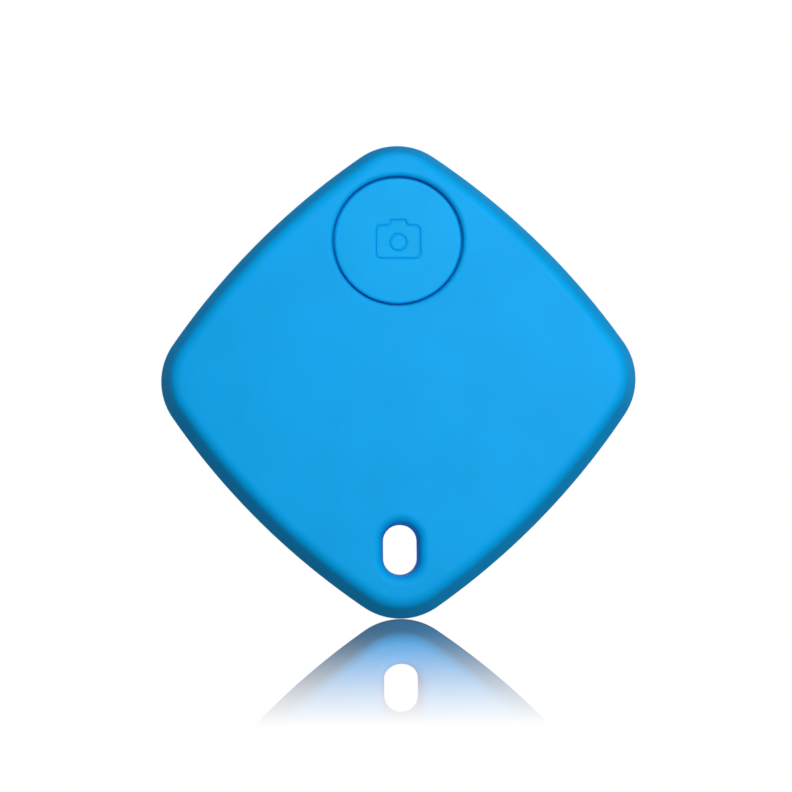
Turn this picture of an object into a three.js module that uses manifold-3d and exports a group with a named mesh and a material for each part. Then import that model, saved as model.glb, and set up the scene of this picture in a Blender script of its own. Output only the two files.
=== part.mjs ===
// A bluetooth tracker tag: a rounded-rhombus case with a remote-shutter button in its upper
// corner and a lanyard slot in its lower one. Behind the face are a piezo sounder, a circuit
// board with its radio, and a replaceable coin cell under a rear cover that clips on.
//
// Millimetres. The tag hangs upright: +X is to the right as the face is seen, +Z is up, and the
// face looks along -Y. The origin is the middle of the lanyard slot. Inside the "tag" group,
// x and z are measured from the middle of the case, and y is the depth behind the face.

import * as THREE from 'three';
import { mergeVertices } from 'three/addons/utils/BufferGeometryUtils.js';
import Module from 'manifold-3d';

const wasm = await Module();
wasm.setup();

// ---- Driving dimensions ----------------------------------------------------------------

const halfAcross = 21; // middle of the case to the middle of a side
const thickness = 8;
const sideRadius = 78.1; // the sides are long shallow arcs
const cornerRadius = 6.8;
const sideSlope = (65 * Math.PI) / 180; // the front shell's side, off the plane of the face
const slopeInset = 1.45; // where the sloping side would meet the face, in from the outline
const faceRounding = 1.5;
const rearEdge = [1.5, 1.5];
const partingDepth = 5; // where the front shell ends and the rear cover begins
const partingReveal = 0.1;

const frontWall = 1.2;
const rearWall = 1.0;
const sideWall = 1.3;
const innerFillet = 1.0;

const slotDrop = 18; // middle of the case down to the middle of the lanyard slot
const slotHalfWidth = 1.8; // at its narrowest, where shell and cover meet
const slotHalfHeight = 2.65;
const slotCorner = 1.75;
const slotDraft = 0.12; // how much wider each side is where the front flare ends
const slotTubeWall = 1.0;
const slotFrontFlare = 1.2;
const slotRearFlare = 0.7;

const buttonRise = 14.5; // middle of the case up to the middle of the button
const buttonHoleRadius = 6.9;
const buttonHoleChamfer = 0.48;
const buttonRadius = 6.7;
const buttonRecess = 0.25; // the button's face sits this far behind the case's face

const skirtInset = 1.5; // the cover's skirt, measured in from the outer outline
const skirtWall = 0.6;
const skirtStart = 3.8;
const snapHalfLength = 5; // of the beads on the skirt; their grooves in the shell are longer
const beadDepths = [4.15, 4.55];
const beadGap = 0.04;
const grooveDepths = [4.0, 4.7];
const grooveBite = 0.25;

const boardFront = 2.2;
const boardThickness = 0.8;
const boardRear = boardFront + boardThickness;
const boardInset = 1.7;
const boardBottom = -13.5; // the board stops short of the lanyard slot

const cellRise = -1.5; // middle of the case up to the middle of the coin cell
const cellRadius = 10;
const cellFront = 3.3;
const cellThickness = 3.2;
const cellRear = cellFront + cellThickness;

const piezoRise = -3;
const piezoRadius = 9;
const screwReach = 18.2; // middle of the case out to each board screw
const screwRise = -0.6;

const round = 40; // facets round a large circle
const small = 20; // facets round a small one

// ---- Finishes --------------------------------------------------------------------------

const finishes = {
  blue: { color: 0x18a0e4, roughness: 0.6, metalness: 0 },
  black: { color: 0x1b1c1e, roughness: 0.55, metalness: 0 },
  solderMask: { color: 0x11512f, roughness: 0.4, metalness: 0 },
  epoxy: { color: 0x17181a, roughness: 0.5, metalness: 0 },
  steel: { color: 0xb9bcc0, roughness: 0.3, metalness: 1 },
  tin: { color: 0xc9ccce, roughness: 0.35, metalness: 1 },
  brass: { color: 0xc9a24a, roughness: 0.35, metalness: 1 },
  ceramic: { color: 0xe6e3da, roughness: 0.6, metalness: 0 },
  nylon: { color: 0xd8d9d6, roughness: 0.6, metalness: 0 },
  tape: { color: 0xf0efe8, roughness: 0.9, metalness: 0 },
  red: { color: 0xb3201c, roughness: 0.5, metalness: 0 },
  tan: { color: 0x9a7b52, roughness: 0.6, metalness: 0 },
  grey: { color: 0x6d7076, roughness: 0.6, metalness: 0.3 },
};

// ---- Solids ----------------------------------------------------------------------------

// Positions only, shared vertices merged, no collapsed triangles, faces pointing out.
function weld(geometry) {
  const bare = geometry.clone();
  for (const name of Object.keys(bare.attributes)) {
    if (name !== 'position') bare.deleteAttribute(name);
  }
  bare.clearGroups();
  const merged = mergeVertices(bare, 1e-4);
  const corner = (index) => new THREE.Vector3().fromBufferAttribute(merged.attributes.position, index);
  const old = merged.index.array;
  const kept = [];
  let volume = 0;
  for (let i = 0; i < old.length; i += 3) {
    const [a, b, c] = [old[i], old[i + 1], old[i + 2]];
    if (a === b || b === c || c === a) continue;
    kept.push(a, b, c);
    volume += corner(a).dot(corner(b).cross(corner(c)));
  }
  if (volume < 0) kept.reverse();
  merged.setIndex(kept);
  return merged;
}

function toManifold(geometry) {
  const welded = weld(geometry);
  return new wasm.Manifold(new wasm.Mesh({
    numProp: 3,
    vertProperties: new Float32Array(welded.attributes.position.array),
    triVerts: new Uint32Array(welded.index.array),
  }));
}

function toGeometry(solid) {
  const mesh = solid.getMesh();
  const geometry = new THREE.BufferGeometry();
  geometry.setAttribute('position', new THREE.BufferAttribute(mesh.vertProperties, 3));
  geometry.setIndex(new THREE.BufferAttribute(mesh.triVerts, 1));
  geometry.computeVertexNormals();
  return geometry;
}

// Joins the geometries in `join` to the base, then takes away those in `cut`.
function shape(base, { join = [], cut = [] }) {
  let solid = toManifold(base);
  for (const piece of join) solid = solid.add(toManifold(piece));
  for (const piece of cut) solid = solid.subtract(toManifold(piece));
  return toGeometry(solid);
}

function overlapOf(first, ...others) {
  let solid = toManifold(first);
  for (const other of others) solid = solid.intersect(toManifold(other));
  return toGeometry(solid);
}

// A flat outline in x and z, made thick from one depth to another.
function plate(outline, front, rear) {
  const depth = rear - front;
  const geometry = new THREE.ExtrudeGeometry(outline, { depth, bevelEnabled: false, curveSegments: 8 });
  return geometry.rotateX(Math.PI / 2).translate(0, rear, 0);
}

function block(width, height, front, rear, x = 0, z = 0) {
  return new THREE.BoxGeometry(width, rear - front, height).translate(x, (front + rear) / 2, z);
}

// A turned solid about an axis along the depth; the profile is a list of [radius, depth].
function turned(profile, segments, x = 0, z = 0) {
  const points = profile.map(([radius, depth]) => new THREE.Vector2(radius, depth));
  return new THREE.LatheGeometry([...points, points[0]], segments).translate(x, 0, z);
}

function disc(radius, front, rear, segments, x = 0, z = 0) {
  return turned([[0, front], [radius, front], [radius, rear], [0, rear]], segments, x, z);
}

function ring(inner, outer, front, rear, segments, x = 0, z = 0) {
  return turned([[inner, front], [outer, front], [outer, rear], [inner, rear]], segments, x, z);
}

// A closed skin over outlines that all have the same number of points.
function loft(levels) {
  const positions = [];
  const indices = [];
  const count = levels[0].points.length;
  for (const { points, depth } of levels) {
    for (const point of points) positions.push(point.x, depth, point.y);
  }
  for (let level = 0; level < levels.length - 1; level += 1) {
    for (let i = 0; i < count; i += 1) {
      const a = level * count + i;
      const b = level * count + ((i + 1) % count);
      indices.push(a, b, b + count, a, b + count, a + count);
    }
  }
  for (const level of [0, levels.length - 1]) {
    const points = levels[level].points;
    const middle = points.reduce((sum, point) => sum.add(point), new THREE.Vector2()).divideScalar(count);
    const hub = positions.length / 3;
    positions.push(middle.x, levels[level].depth, middle.y);
    for (let i = 0; i < count; i += 1) {
      const a = level * count + i;
      const b = level * count + ((i + 1) % count);
      indices.push(...(level === 0 ? [hub, b, a] : [hub, a, b]));
    }
  }
  const geometry = new THREE.BufferGeometry();
  geometry.setAttribute('position', new THREE.Float32BufferAttribute(positions, 3));
  geometry.setIndex(indices);
  return geometry;
}

// ---- Outlines --------------------------------------------------------------------------

// Points along a closed run of arcs, each [centre x, centre z, radius, first angle, last angle].
// Growing every radius by the same amount gives the parallel outline.
function alongArcs(arcs, grow, steps) {
  const points = [];
  for (const [x, z, radius, first, last] of arcs) {
    for (let i = 0; i <= steps; i += 1) {
      const angle = first + ((last - first) * i) / steps;
      const reach = radius + grow;
      const point = new THREE.Vector2(x + reach * Math.cos(angle), z + reach * Math.sin(angle));
      if (points.length === 0 || point.distanceTo(points[points.length - 1]) > 1e-3) points.push(point);
    }
  }
  if (points[0].distanceTo(points[points.length - 1]) < 1e-3) points.pop();
  return points;
}

// The case's outline: four long side arcs and four tangent corner arcs, standing on a corner.
function caseArcs() {
  const bulge = sideRadius - halfAcross;
  const cornerReach = (Math.sqrt(2 * (sideRadius - cornerRadius) ** 2 - bulge ** 2) - bulge) / 2;
  const sweep = Math.atan2(cornerReach, cornerReach + bulge);
  const arcs = [];
  for (let side = 0; side < 4; side += 1) {
    const facing = Math.PI / 4 + (side * Math.PI) / 2;
    const corner = facing + Math.PI / 4;
    const diagonal = cornerReach * Math.SQRT2;
    arcs.push([-bulge * Math.cos(facing), -bulge * Math.sin(facing), sideRadius,
      facing - sweep, facing + sweep]);
    arcs.push([diagonal * Math.cos(corner), diagonal * Math.sin(corner), cornerRadius,
      facing + sweep, facing + Math.PI / 2 - sweep]);
  }
  return arcs;
}

function caseOutline(inset) {
  return alongArcs(caseArcs(), -inset, 6);
}

function slotOutline(grow) {
  const across = slotHalfWidth - slotCorner;
  const up = slotHalfHeight - slotCorner;
  const corners = [[across, up], [-across, up], [-across, -up], [across, -up]];
  const right = Math.PI / 2;
  const arcs = corners.map(([x, z], i) => [x, z - slotDrop, slotCorner, i * right, (i + 1) * right]);
  return alongArcs(arcs, grow, 5);
}

// Levels of the front shell's side: rounded off from the face, then sloping out to the outline.
function slopingSide() {
  const steps = 5;
  const start = slopeInset + faceRounding * Math.tan(sideSlope / 2);
  const levels = [];
  for (let i = 0; i <= steps; i += 1) {
    const angle = (i / steps) * sideSlope;
    const depth = faceRounding * (1 - Math.cos(angle));
    levels.push({ points: caseOutline(start - faceRounding * Math.sin(angle)), depth });
  }
  levels.push({ points: caseOutline(0), depth: slopeInset * Math.tan(sideSlope) });
  return levels;
}

// Levels of a rolled edge, a quarter of an ellipse, from the face at faceDepth to the wall that it
// runs into. `outline` gives the ring that stands a given distance off the wall, and `inward` is
// 1 at the front and -1 at the rear.
function rolledEdge(outline, [across, deep], faceDepth, inward) {
  const steps = 5;
  const levels = [];
  for (let i = 0; i <= steps; i += 1) {
    const angle = (i / steps) * (Math.PI / 2);
    const depth = faceDepth + inward * deep * (1 - Math.cos(angle));
    levels.push({ points: outline(across * (1 - Math.sin(angle))), depth });
  }
  return levels;
}

// A camera pictogram: a rounded body with a viewfinder hump, drawn `inset` inside its outer edge.
function cameraOutline(inset) {
  const [halfWidth, bottom, shoulder, top] = [2.5, -2.1, 1.75, 2.32];
  const [bodyCorner, humpHalfWidth, humpCorner, humpFlare] = [0.7, 1.0, 0.35, 0.2];
  const outline = new THREE.Path();
  const right = Math.PI / 2;
  const cornerX = halfWidth - bodyCorner;
  const flareX = humpHalfWidth + humpFlare;
  const humpX = humpHalfWidth - humpCorner;
  outline.absarc(cornerX, bottom + bodyCorner, bodyCorner - inset, -right, 0);
  outline.absarc(cornerX, shoulder - bodyCorner, bodyCorner - inset, 0, right);
  outline.absarc(flareX, shoulder + humpFlare, humpFlare + inset, -right, -2 * right, true);
  outline.absarc(humpX, top - humpCorner, humpCorner - inset, 0, right);
  outline.absarc(-humpX, top - humpCorner, humpCorner - inset, right, 2 * right);
  outline.absarc(-flareX, shoulder + humpFlare, humpFlare + inset, 0, -right, true);
  outline.absarc(-cornerX, shoulder - bodyCorner, bodyCorner - inset, right, 2 * right);
  outline.absarc(-cornerX, bottom + bodyCorner, bodyCorner - inset, 2 * right, 3 * right);
  return outline.getPoints(4);
}

// ---- Case ------------------------------------------------------------------------------

// The lanyard slot as a cutter, rolled open at the face and, less, at the rear.
function slotCutter() {
  const drafted = (standOff) => slotOutline(slotDraft + standOff);
  const frontFlare = slotFrontFlare - slotDraft;
  const front = rolledEdge(drafted, [frontFlare, slotFrontFlare], 0, 1);
  const rear = rolledEdge(slotOutline, [slotRearFlare, slotRearFlare], thickness, -1).reverse();
  const overshoot = 1;
  return loft([
    { points: slotOutline(slotFrontFlare), depth: -overshoot },
    ...front,
    { points: slotOutline(0), depth: partingDepth },
    ...rear,
    { points: slotOutline(slotRearFlare), depth: thickness + overshoot },
  ]);
}

// Four bars, one through the middle of each side, that keep only that stretch of a rim.
function sideBars(halfLength, front, rear) {
  const length = 4 * halfAcross;
  const bars = [Math.PI / 4, -Math.PI / 4].map(
    (turn) => block(length, 2 * halfLength, front, rear).rotateY(turn),
  );
  return shape(bars[0], { join: [bars[1]] });
}

function snapBand(inset, halfLength, front, rear) {
  const band = plate(new THREE.Shape(caseOutline(inset)), front, rear);
  return overlapOf(band, sideBars(halfLength, front - 1, rear + 1));
}

const boardRests = [[-9.8, 12], [9.8, 12], [-9, -10.5], [9, -10.5]];
const restRadius = 1.2;
const bossRadius = 1.6; // round each board screw
const pilotRadius = 0.75;
const pilotEnd = 0.9; // the screw holes stop this far behind the face

function frontShell() {
  const rim = partingDepth - partingReveal / 2;
  const cavityEdge = (standIn) => caseOutline(sideWall + standIn);
  const outer = loft([
    ...slopingSide(),
    { points: caseOutline(0), depth: rim },
  ]);
  const cavity = loft([
    ...rolledEdge(cavityEdge, [innerFillet, innerFillet], frontWall, 1),
    { points: cavityEdge(0), depth: partingDepth + 1 },
  ]);
  const hollow = shape(outer, { cut: [cavity] });
  const overlap = 0.3; // how far bosses run into the wall that they stand on
  const tube = plate(new THREE.Shape(slotOutline(slotTubeWall)), frontWall - overlap, rim);
  const post = (radius, x, z) => disc(radius, frontWall - overlap, boardFront, small, x, z);
  const rests = boardRests.map(([x, z]) => post(restRadius, x, z));
  const bosses = [-1, 1].map((side) => post(bossRadius, side * screwReach, screwRise));
  const pilots = [-1, 1].map(
    (side) => disc(pilotRadius, pilotEnd, boardFront + 1, small, side * screwReach, screwRise),
  );
  const faceRadius = buttonHoleRadius + buttonHoleChamfer;
  const hole = turned([
    [0, -1], [faceRadius, -1], [faceRadius, 0], [buttonHoleRadius, buttonHoleChamfer],
    [buttonHoleRadius, frontWall + overlap], [0, frontWall + overlap],
  ], round, 0, buttonRise);
  const grooves = snapBand(sideWall - grooveBite, snapHalfLength + 1, ...grooveDepths);
  return shape(hollow, {
    join: [tube, ...rests, ...bosses],
    cut: [slotCutter(), hole, grooves, ...pilots],
  });
}

function rearCover() {
  const edge = partingDepth + partingReveal / 2;
  const inside = thickness - rearWall;
  const cavityInset = skirtInset + skirtWall;
  const cavityFillet = 0.8;
  const [ribInner, ribOuter, ribGap] = [6, 6.8, 0.1];
  const outer = loft([
    { points: caseOutline(0), depth: edge },
    ...rolledEdge(caseOutline, rearEdge, thickness, -1).reverse(),
  ]);
  const cavityEdge = (standIn) => caseOutline(cavityInset + standIn);
  const cavity = loft([
    { points: cavityEdge(0), depth: skirtStart - 1 },
    ...rolledEdge(cavityEdge, [cavityFillet, cavityFillet], inside, -1).reverse(),
  ]);
  const skirt = plate(new THREE.Shape(caseOutline(skirtInset)), skirtStart, edge + 0.2);
  const beads = snapBand(sideWall + beadGap, snapHalfLength, ...beadDepths);
  const tube = plate(new THREE.Shape(slotOutline(slotTubeWall)), edge, inside + 0.2);
  const cellRib = ring(ribInner, ribOuter, cellRear + ribGap, inside + 0.2, round, 0, cellRise);
  const topCorner = caseOutline(0).reduce((most, point) => Math.max(most, point.y), 0);
  const [notchWidth, notchReach, notchDepth] = [8, 1.1, 0.8];
  const pryNotch = block(notchWidth, 2 * notchReach, edge - 1, edge + notchDepth, 0, topCorner);
  const hollow = shape(outer, { join: [skirt, beads], cut: [cavity] });
  return shape(hollow, { join: [tube, cellRib], cut: [slotCutter(), pryNotch] });
}

// ---- Button and its switch -------------------------------------------------------------

const nubRadius = 0.9;
const nubEnd = 1.3;
const flangeRadius = 7.6;

function buttonCap() {
  const [edge, flangeFront, flangeRear, underside] = [0.3, 1.3, 1.7, 1.15];
  const body = turned([
    [0, buttonRecess], [buttonRadius - edge, buttonRecess], [buttonRadius, buttonRecess + edge],
    [buttonRadius, flangeFront], [flangeRadius, flangeFront], [flangeRadius, flangeRear],
    [buttonRadius - 0.45, flangeRear], [buttonRadius - 0.45, underside],
    [nubRadius, underside], [nubRadius, nubEnd], [0, nubEnd],
  ], round, 0, buttonRise);
  const [line, lensRadius, lensDrop, engraving] = [0.3, 1.05, 0.24, 0.15];
  const picture = new THREE.Shape(cameraOutline(0));
  picture.holes.push(new THREE.Path(cameraOutline(line)));
  const frame = plate(picture, buttonRecess - 1, buttonRecess + engraving).translate(0, 0, buttonRise);
  const lens = ring(lensRadius - line, lensRadius, buttonRecess - 1, buttonRecess + engraving, small,
    0, buttonRise - lensDrop);
  return shape(body, { cut: [frame, lens] });
}

const switchHalfWidth = 2.3;
const switchTop = 1.65; // depth of the housing's top, under its metal frame
const switchFloor = 2.1;
const plungerRadius = 1.0;

function switchBase() {
  const housing = block(2 * switchHalfWidth, 2 * switchHalfWidth, switchTop, boardFront, 0, buttonRise);
  return shape(housing, { cut: [disc(1.95, switchTop - 1, switchFloor, small, 0, buttonRise)] });
}

function switchFrame() {
  const width = 2 * switchHalfWidth - 0.3;
  const sheet = block(width, width, switchTop - 0.12, switchTop, 0, buttonRise);
  const opening = disc(plungerRadius + 0.15, switchTop - 1, switchTop + 1, small, 0, buttonRise);
  return shape(sheet, { cut: [opening] });
}

function switchPlunger() {
  const [top, collar, bottom, collarRadius] = [nubEnd + 0.05, 1.67, 1.75, 1.45];
  return turned([
    [0, top], [plungerRadius - 0.1, top], [plungerRadius, top + 0.1], [plungerRadius, collar],
    [collarRadius, collar], [collarRadius, bottom], [0, bottom],
  ], small, 0, buttonRise);
}

// The snap dome is a shallow sheet cap that rests on the housing's floor.
function switchDome() {
  const [sheet, crown, rimRadius] = [0.06, 1.8, 1.8];
  const height = switchFloor - sheet - crown;
  const steps = 4;
  const profile = [];
  for (let i = 0; i <= steps; i += 1) {
    const radius = (rimRadius * i) / steps;
    profile.push([radius, crown + height * (i / steps) ** 2]);
  }
  const underside = profile.map(([radius, depth]) => [radius, depth + sheet]).reverse();
  return turned([...profile, ...underside], small, 0, buttonRise);
}

// ---- Sounder ---------------------------------------------------------------------------

const tapeThickness = 0.1;
const brassFront = frontWall + tapeThickness;
const brassRear = brassFront + 0.12;
const ceramicRear = brassRear + 0.14;
const wireRadius = 0.2;
const wireDepth = 1.86; // between the sounder and the board

function piezoWire(points) {
  const route = new THREE.CatmullRomCurve3(points.map(([x, z]) => new THREE.Vector3(x, wireDepth, z)));
  const section = new THREE.Shape();
  section.absarc(0, 0, wireRadius, 0, 2 * Math.PI);
  return new THREE.ExtrudeGeometry(section, { steps: 14, extrudePath: route, curveSegments: 4 });
}

// ---- Circuit board ---------------------------------------------------------------------

function circuitBoard() {
  const outline = new THREE.Shape(caseOutline(boardInset));
  const board = plate(outline, boardFront, boardRear);
  const size = 2 * halfAcross;
  const below = block(2 * size, size, boardFront - 1, boardRear + 1, 0, boardBottom - size / 2);
  const holes = [-1, 1].map(
    (side) => disc(0.85, boardFront - 1, boardRear + 1, small, side * screwReach, screwRise),
  );
  return shape(board, { cut: [below, ...holes] });
}

function boardScrew(side) {
  const [tip, shank, head, headTop] = [1.0, 0.7, 1.25, boardRear + 0.5];
  const body = turned([
    [0, tip], [0.5, tip], [shank, tip + 0.3], [shank, boardRear], [head, boardRear],
    [head, headTop - 0.2], [head - 0.2, headTop], [0, headTop],
  ], small, side * screwReach, screwRise);
  const [recessLength, recessWidth, recessDepth] = [1.4, 0.3, 0.3];
  const front = headTop - recessDepth;
  return shape(body, {
    cut: [
      block(recessLength, recessWidth, front, headTop + 1, side * screwReach, screwRise),
      block(recessWidth, recessLength, front, headTop + 1, side * screwReach, screwRise),
    ],
  });
}

// Packages on the rear of the board: [name, finish, x, z, width, height, thickness].
const packages = [
  ['bluetooth_chip', 'epoxy', 0, 14.2, 6, 6, 0.85],
  ['main_crystal', 'steel', 6.2, 13.9, 2.5, 2.0, 0.6],
  ['clock_crystal', 'steel', -6.4, 12.4, 3.2, 1.5, 0.8],
  ['chip_antenna', 'ceramic', 0, 21.1, 3.2, 1.6, 1.1],
  ['buzzer_driver', 'epoxy', -14.6, -5.6, 2.9, 1.6, 1.1],
  ['boost_inductor', 'grey', -14.4, 4.6, 3, 3, 1.2],
  ['boost_diode', 'epoxy', -11.6, 8.6, 2.5, 1.3, 0.9],
  ['reserve_capacitor', 'tan', 14.6, 4.8, 1.6, 3.2, 1.2],
];

// Small two-terminal parts: [name, finish, x, z, along x or z].
const chips = [
  ['antenna_capacitor', 'tan', 0, 18.9, 'x'],
  ['antenna_inductor', 'ceramic', -2.2, 18.9, 'x'],
  ['radio_capacitor_left', 'tan', -4.4, 16.4, 'z'],
  ['radio_capacitor_right', 'tan', 4.4, 16.6, 'z'],
  ['supply_capacitor_left', 'tan', -3.6, 10.6, 'x'],
  ['supply_capacitor_right', 'tan', 3.6, 10.6, 'x'],
  ['crystal_capacitor_upper', 'tan', 8.6, 14.6, 'z'],
  ['crystal_capacitor_lower', 'tan', 8.6, 12.6, 'z'],
  ['switch_resistor', 'epoxy', -8.2, 14.9, 'x'],
  ['driver_resistor_left', 'epoxy', -17.4, -4.2, 'z'],
  ['driver_resistor_right', 'epoxy', -12.6, -8.2, 'x'],
  ['filter_capacitor', 'tan', 14.4, -6.2, 'x'],
];

// ---- Coin cell and its contacts --------------------------------------------------------

const cellSheet = 0.25; // the steel of the can and of the cap
const cellGap = 0.05; // between one piece of the cell and the next
const canInside = cellRadius - cellSheet;
const crimpFront = cellFront + 0.2; // the can's rim, rolled in over the gasket
const crimpRear = crimpFront + 0.22;
const crimpLip = 9.3;
const gasketOutside = canInside - cellGap;
const gasketInside = gasketOutside - 0.25;
const gasketEnd = 6.2;
const capFlat = 8.3; // radius of the cap's flat face, and of the neck and skirt behind it
const capNeck = 8.9;
const capSkirt = gasketInside - cellGap;
const capShoulder = 4.05;

// Each cell piece is turned about the cell's own axis; its negative side faces the board.
function cellPiece(profile) {
  return turned(profile, round, 0, cellRise);
}

function cellCan() {
  const edge = 0.2;
  return cellPiece([
    [0, cellRear], [cellRadius - edge, cellRear], [cellRadius, cellRear - edge],
    [cellRadius, crimpFront + edge], [cellRadius - edge, crimpFront], [crimpLip, crimpFront],
    [crimpLip, crimpRear], [canInside, crimpRear], [canInside, cellRear - cellSheet],
    [0, cellRear - cellSheet],
  ]);
}

// The gasket lies under the crimp and runs on between the cap's skirt and the can's wall.
function cellGasket() {
  const [lipInside, lipOutside] = [capNeck + cellGap, crimpLip - cellGap];
  const [lipFront, lipRear] = [crimpFront - cellGap, capShoulder - cellGap];
  const wallFront = crimpRear + cellGap;
  return cellPiece([
    [lipInside, lipFront], [lipOutside, lipFront], [lipOutside, wallFront],
    [gasketOutside, wallFront], [gasketOutside, gasketEnd], [gasketInside, gasketEnd],
    [gasketInside, lipRear], [lipInside, lipRear],
  ]);
}

function cellCap() {
  const skirtEnd = gasketEnd - 0.2;
  const shoulderRear = capShoulder + cellSheet;
  const outside = [
    [0, cellFront], [capFlat, cellFront], [capFlat + 0.3, cellFront + 0.2],
    [capNeck, cellFront + 0.4], [capNeck, capShoulder], [capSkirt, capShoulder],
    [capSkirt, skirtEnd],
  ];
  const inside = [
    [capSkirt - cellSheet, skirtEnd], [capSkirt - cellSheet, shoulderRear],
    [capNeck - cellSheet, shoulderRear], [capNeck - cellSheet, cellFront + 0.55],
    [capFlat, cellFront + cellSheet], [0, cellFront + cellSheet],
  ];
  return cellPiece([...outside, ...inside]);
}

// What fills the cell, from the cap's side to the can's: [name, finish, radius, front, rear].
const cellFillings = [
  ['cell_anode', 'tin', 8, 3.6, 4.25],
  ['cell_separator', 'tape', 9.05, 4.35, 4.45],
  ['cell_cathode', 'black', 9, 4.5, 6.2],
];

// A stretch of a ring about the cell's axis, centred on one direction.
function cellSector(inner, outer, front, rear, facing, halfAngle) {
  const outline = new THREE.Shape();
  outline.absarc(0, 0, outer, facing - halfAngle, facing + halfAngle);
  outline.absarc(0, 0, inner, facing + halfAngle, facing - halfAngle, true);
  return plate(outline, front, rear).translate(0, 0, cellRise);
}

function cellHolder() {
  const [inner, outer, rim, hookTop] = [10.25, 11.4, 5.6, 6.9];
  const wall = ring(inner, outer, boardRear, rim, round, 0, cellRise);
  const contactGap = cellSector(9, 13, boardRear - 1, rim + 1, 0, 0.42);
  const thumbNotch = cellSector(9, 13, 4.4, rim + 1, (4 * Math.PI) / 3, 0.3);
  const hooks = [];
  for (const facing of [Math.PI / 3, Math.PI, (5 * Math.PI) / 3]) {
    hooks.push(cellSector(inner + 0.05, outer - 0.2, rim - 0.3, hookTop, facing, 0.14));
    hooks.push(cellSector(9.7, inner + 0.4, cellRear + 0.05, hookTop, facing, 0.14));
  }
  return shape(wall, { join: hooks, cut: [contactGap, thumbNotch] });
}

function positiveContact() {
  const [inner, sheet] = [cellRadius + 0.04, 0.25];
  const blade = cellSector(inner, inner + sheet, boardRear, cellRear - 0.3, 0, 0.28);
  const foot = cellSector(inner, inner + 2.1, boardRear, boardRear + sheet, 0, 0.2);
  return shape(blade, { join: [foot] });
}

function negativeContact() {
  const [hub, armLength, armWidth, rear] = [2.4, 6.4, 1.7, cellFront - 0.05];
  const arms = [0, 1, 2].map((arm) => block(armLength, armWidth, boardRear, rear, armLength / 2)
    .rotateY(Math.PI / 2 + (arm * 2 * Math.PI) / 3)
    .translate(0, 0, cellRise));
  return shape(disc(hub, boardRear, rear, small, 0, cellRise), { join: arms });
}

// ---- Assembly --------------------------------------------------------------------------

const tag = new THREE.Group();
tag.position.set(0, -thickness / 2, slotDrop);

function add(name, finish, geometry) {
  const mesh = new THREE.Mesh(weld(geometry), new THREE.MeshStandardMaterial(finishes[finish]));
  mesh.name = name;
  tag.add(mesh);
}

add('front_shell', 'blue', frontShell());
add('rear_cover', 'blue', rearCover());
add('button_cap', 'blue', buttonCap());

add('switch_base', 'black', switchBase());
add('switch_frame', 'steel', switchFrame());
add('switch_plunger', 'black', switchPlunger());
add('switch_dome', 'steel', switchDome());

add('piezo_adhesive_ring', 'tape', ring(7.5, piezoRadius, frontWall, brassFront, round, 0, piezoRise));
add('piezo_plate', 'brass', disc(piezoRadius, brassFront, brassRear, round, 0, piezoRise));
add('piezo_ceramic', 'ceramic', disc(7, brassRear, ceramicRear, round, 0, piezoRise));
add('piezo_wire_red', 'red', piezoWire([[2, -6], [5, -8.4], [6, -10.6], [4.2, -12.4]]));
add('piezo_wire_black', 'black', piezoWire([[-8.4, -4.6], [-8.6, -7.6], [-6.6, -10.4], [-4.2, -12.4]]));

add('circuit_board', 'solderMask', circuitBoard());
add('board_screw_left', 'steel', boardScrew(-1));
add('board_screw_right', 'steel', boardScrew(1));
for (const [name, finish, x, z, width, height, deep] of packages) {
  add(name, finish, block(width, height, boardRear, boardRear + deep, x, z));
}
for (const [name, finish, x, z, along] of chips) {
  const [length, width] = [1.6, 0.8];
  const size = along === 'x' ? [length, width] : [width, length];
  add(name, finish, block(...size, boardRear, boardRear + width, x, z));
}

add('cell_holder', 'black', cellHolder());
add('positive_contact', 'steel', positiveContact());
add('negative_contact', 'steel', negativeContact());
add('cell_can', 'steel', cellCan());
add('cell_cap', 'steel', cellCap());
add('cell_gasket', 'nylon', cellGasket());
for (const [name, finish, radius, front, rear] of cellFillings) {
  add(name, finish, disc(radius, front, rear, round, 0, cellRise));
}

export default tag;
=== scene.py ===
"""The looks of a bluetooth tracker tag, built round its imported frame.

Shapes are worked out in millimetres about the case: x to the right and z up from its middle, and
depth behind its face. `at` turns them into metres in the frame's own axes.
"""
import math

import bmesh
import bpy
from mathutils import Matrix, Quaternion, Vector
from mathutils.geometry import delaunay_2d_cdt


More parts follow.
